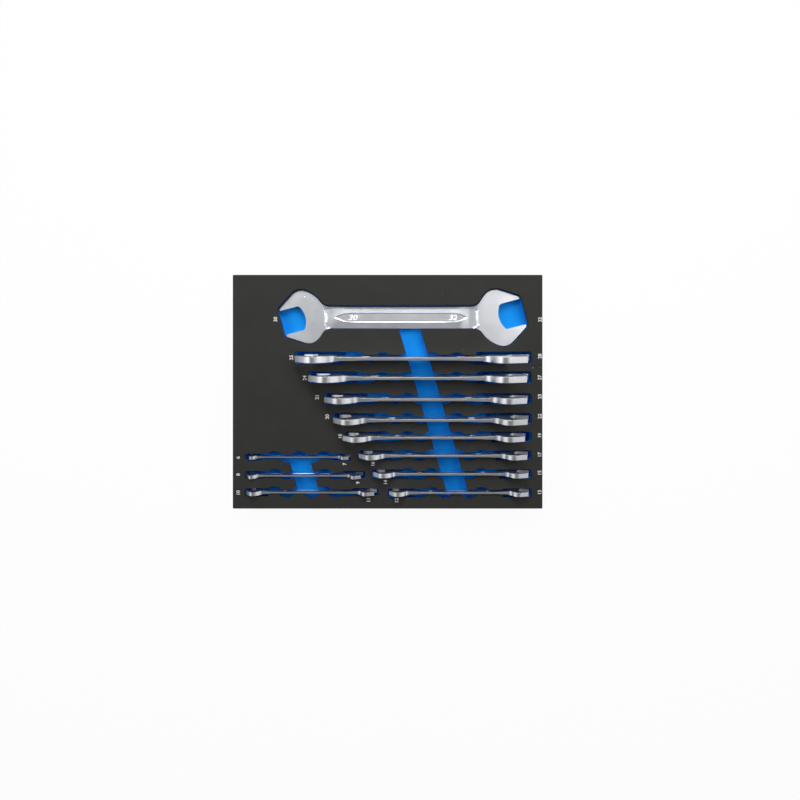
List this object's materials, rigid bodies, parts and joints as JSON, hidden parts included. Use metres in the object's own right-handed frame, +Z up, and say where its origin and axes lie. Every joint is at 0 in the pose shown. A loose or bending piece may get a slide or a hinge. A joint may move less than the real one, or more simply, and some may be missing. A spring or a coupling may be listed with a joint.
{
  "type": "wrench tray",
  "caption": "Two-colour foam tool tray with a nest, slots, finger channels and scoops that hold a set of double open-end wrenches.",
  "frame": {"origin": "centre of the tray's underside, where it rests on a drawer bottom", "axes": "+X along the tray's long side to the right, +Y to the back where the flat wrench lies, +Z up"},
  "size_m": [0.375, 0.2832, 0.0659],
  "materials": {
    "blue_foam": "matt closed-cell foam",
    "black_foam": "matt closed-cell foam with a fine grain",
    "satin_chrome": "satin chrome plate"
  },
  "bodies": {
    "root": {"foam_base": "blue_foam", "foam_skin": "black_foam", "wrench_30x32": "satin_chrome", "wrench_25x28": "satin_chrome", "wrench_24x27": "satin_chrome", "wrench_21x23": "satin_chrome", "wrench_20x22": "satin_chrome", "wrench_18x19": "satin_chrome", "wrench_16x17": "satin_chrome", "wrench_14x15": "satin_chrome", "wrench_12x13": "satin_chrome", "wrench_10x11": "satin_chrome", "wrench_8x9": "satin_chrome", "wrench_6x7": "satin_chrome"}
  },
  "joints": []
}
